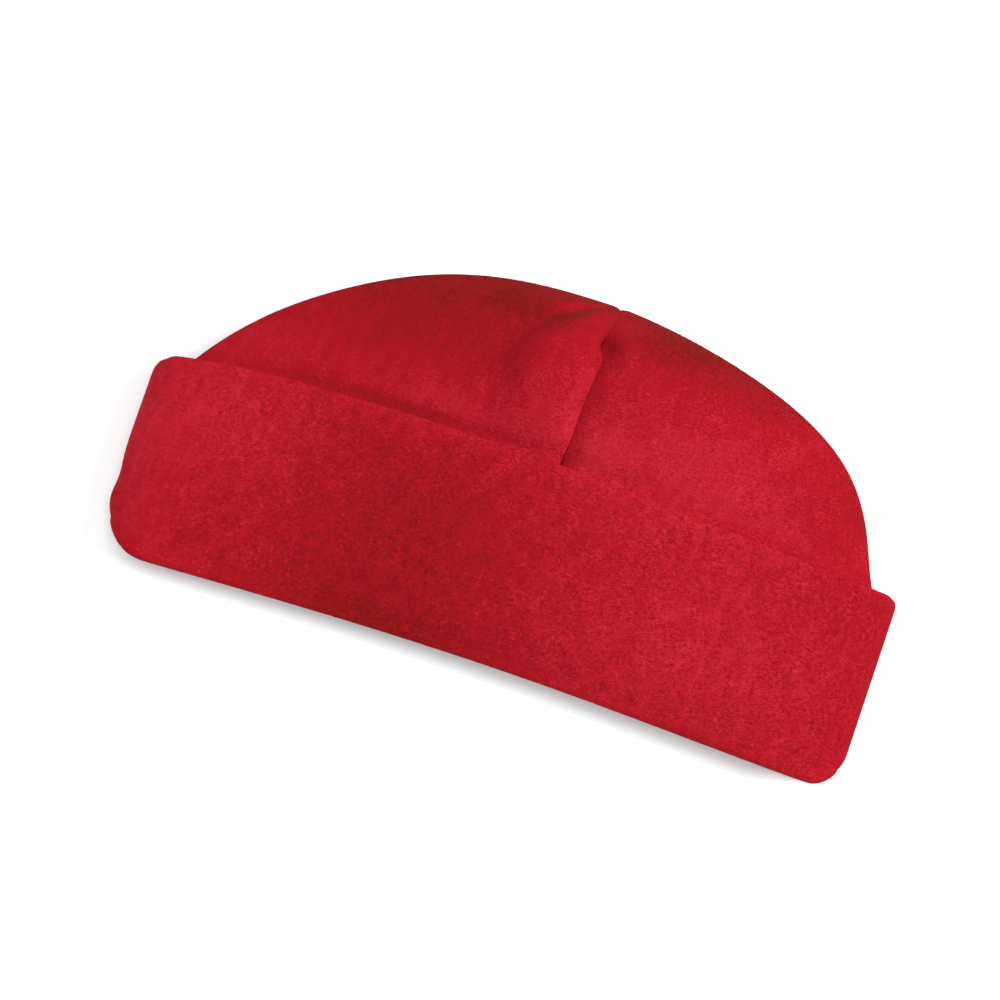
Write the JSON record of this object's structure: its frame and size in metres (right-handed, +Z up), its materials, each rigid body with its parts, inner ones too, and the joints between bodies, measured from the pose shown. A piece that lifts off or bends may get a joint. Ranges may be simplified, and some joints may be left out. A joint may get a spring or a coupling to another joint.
{
  "type": "fleece beanie",
  "caption": "Soft fleece beanie with a deep turned-up cuff and a front seam, lying on its back.",
  "frame": {"origin": "under the middle of the hat's box, on the surface that the hat lies on", "axes": "+X across the hat to its right side, +Y from the mouth to the tip of the crown, +Z up from the back of the hat to its front"},
  "size_m": [0.2899, 0.1448, 0.0443],
  "materials": {
    "crown_fleece": "brushed red polar fleece, matt",
    "cuff_fleece": "pilled red polar fleece, matt"
  },
  "bodies": {
    "root": {"crown_front_left": "crown_fleece", "crown_front_right": "crown_fleece", "crown_back_left": "crown_fleece", "crown_back_right": "crown_fleece", "cuff_front": "cuff_fleece", "cuff_back": "cuff_fleece"}
  },
  "joints": []
}
